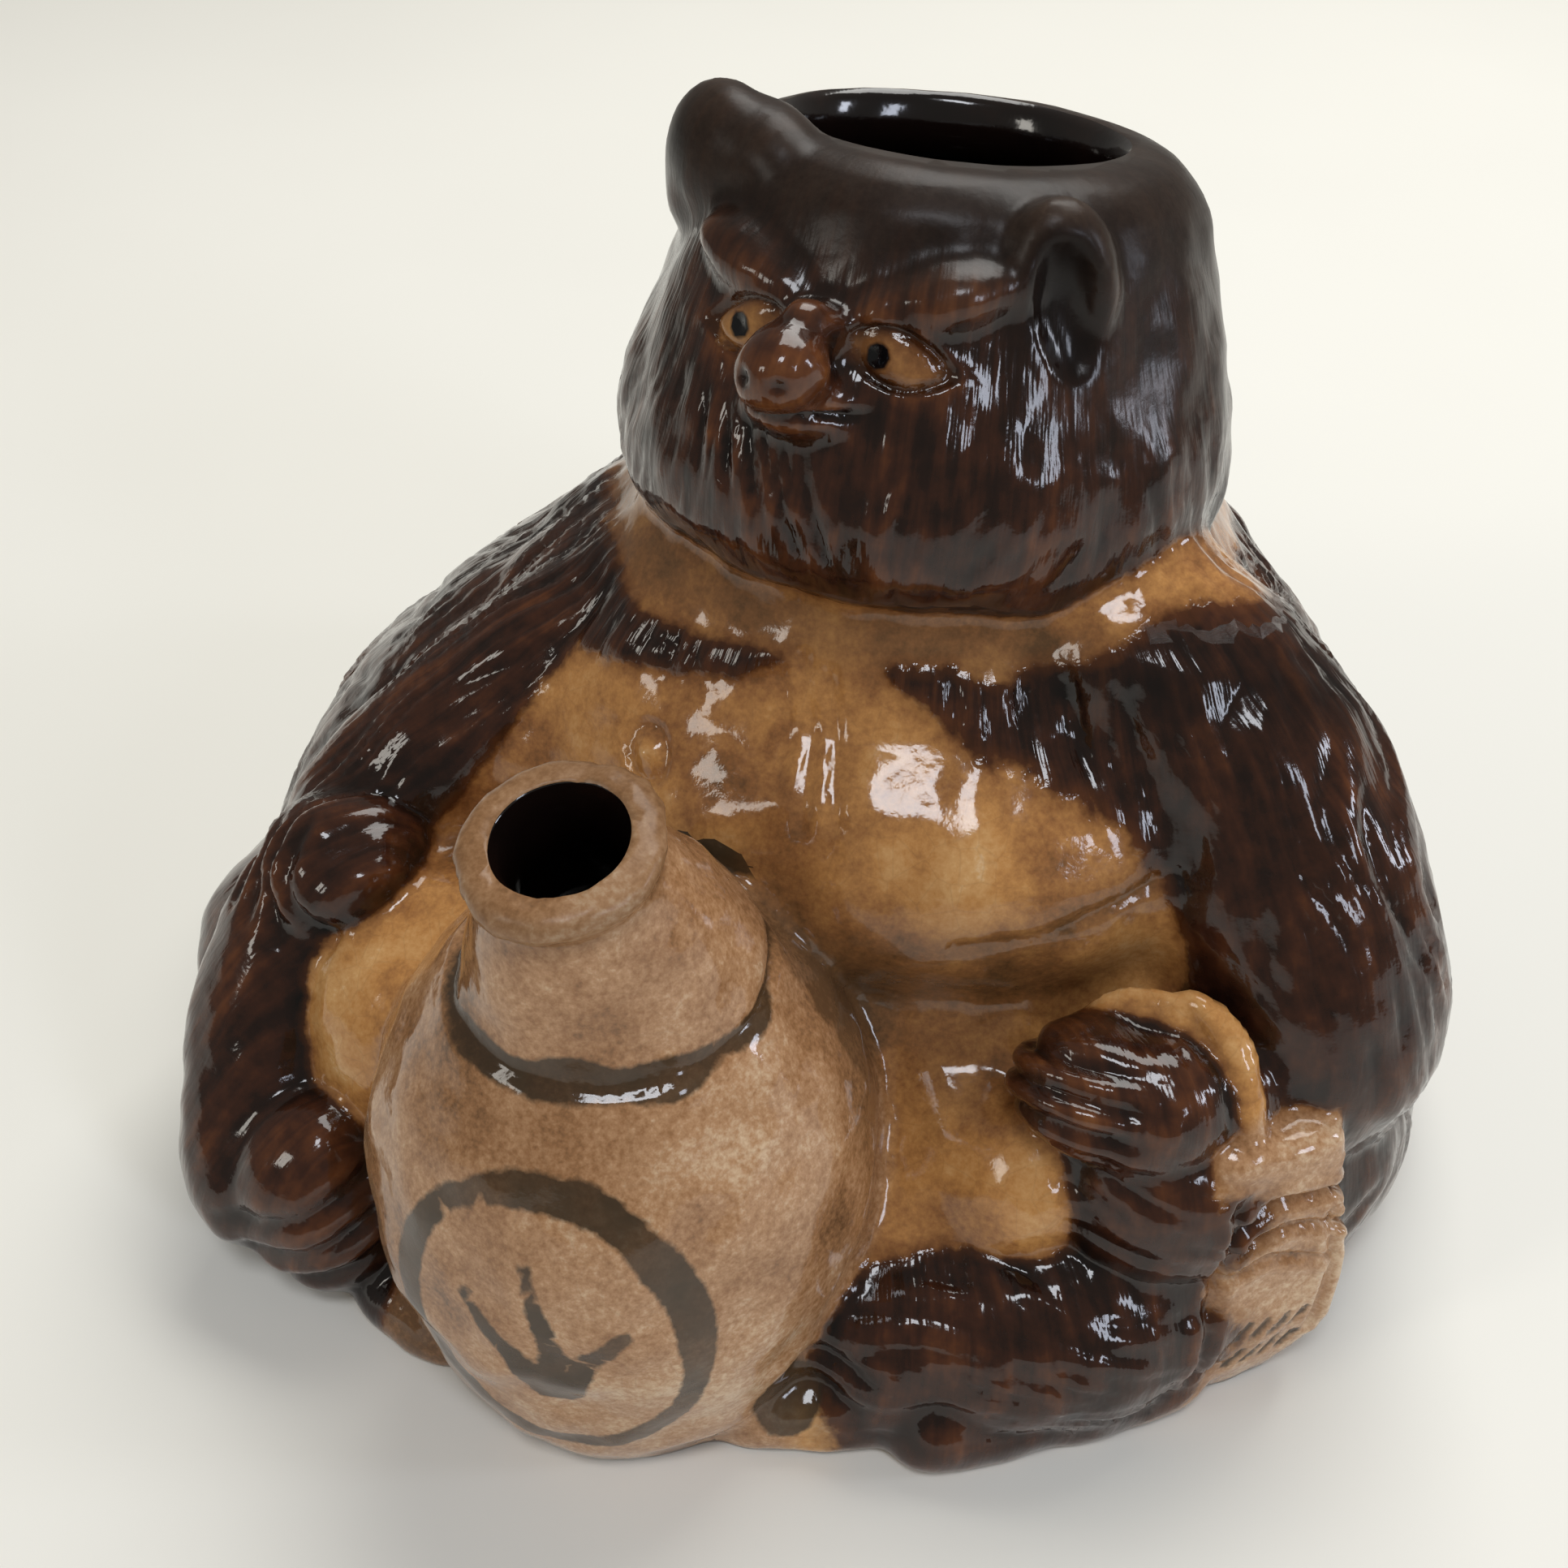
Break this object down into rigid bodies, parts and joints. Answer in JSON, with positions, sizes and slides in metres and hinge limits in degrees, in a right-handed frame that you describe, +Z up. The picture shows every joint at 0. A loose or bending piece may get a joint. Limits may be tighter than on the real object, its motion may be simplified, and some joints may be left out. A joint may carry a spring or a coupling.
{
  "type": "figural sake bottle",
  "caption": "Seated raccoon dog with a flask and an account book, a hollow glazed stoneware bottle filled through its open crown and poured through the flask's mouth.",
  "frame": {"origin": "middle of the bounding box's underside, on the surface the figure stands on", "axes": "+Z up, -Y the way the figure faces, +X to the figure's own left"},
  "size_m": [0.1608, 0.1598, 0.1267],
  "materials": {
    "brown_glaze": "gloss brown stoneware glaze, over tan glaze on the chest, flask and account book"
  },
  "bodies": {
    "root": {"sake_bottle": "brown_glaze"}
  },
  "joints": []
}
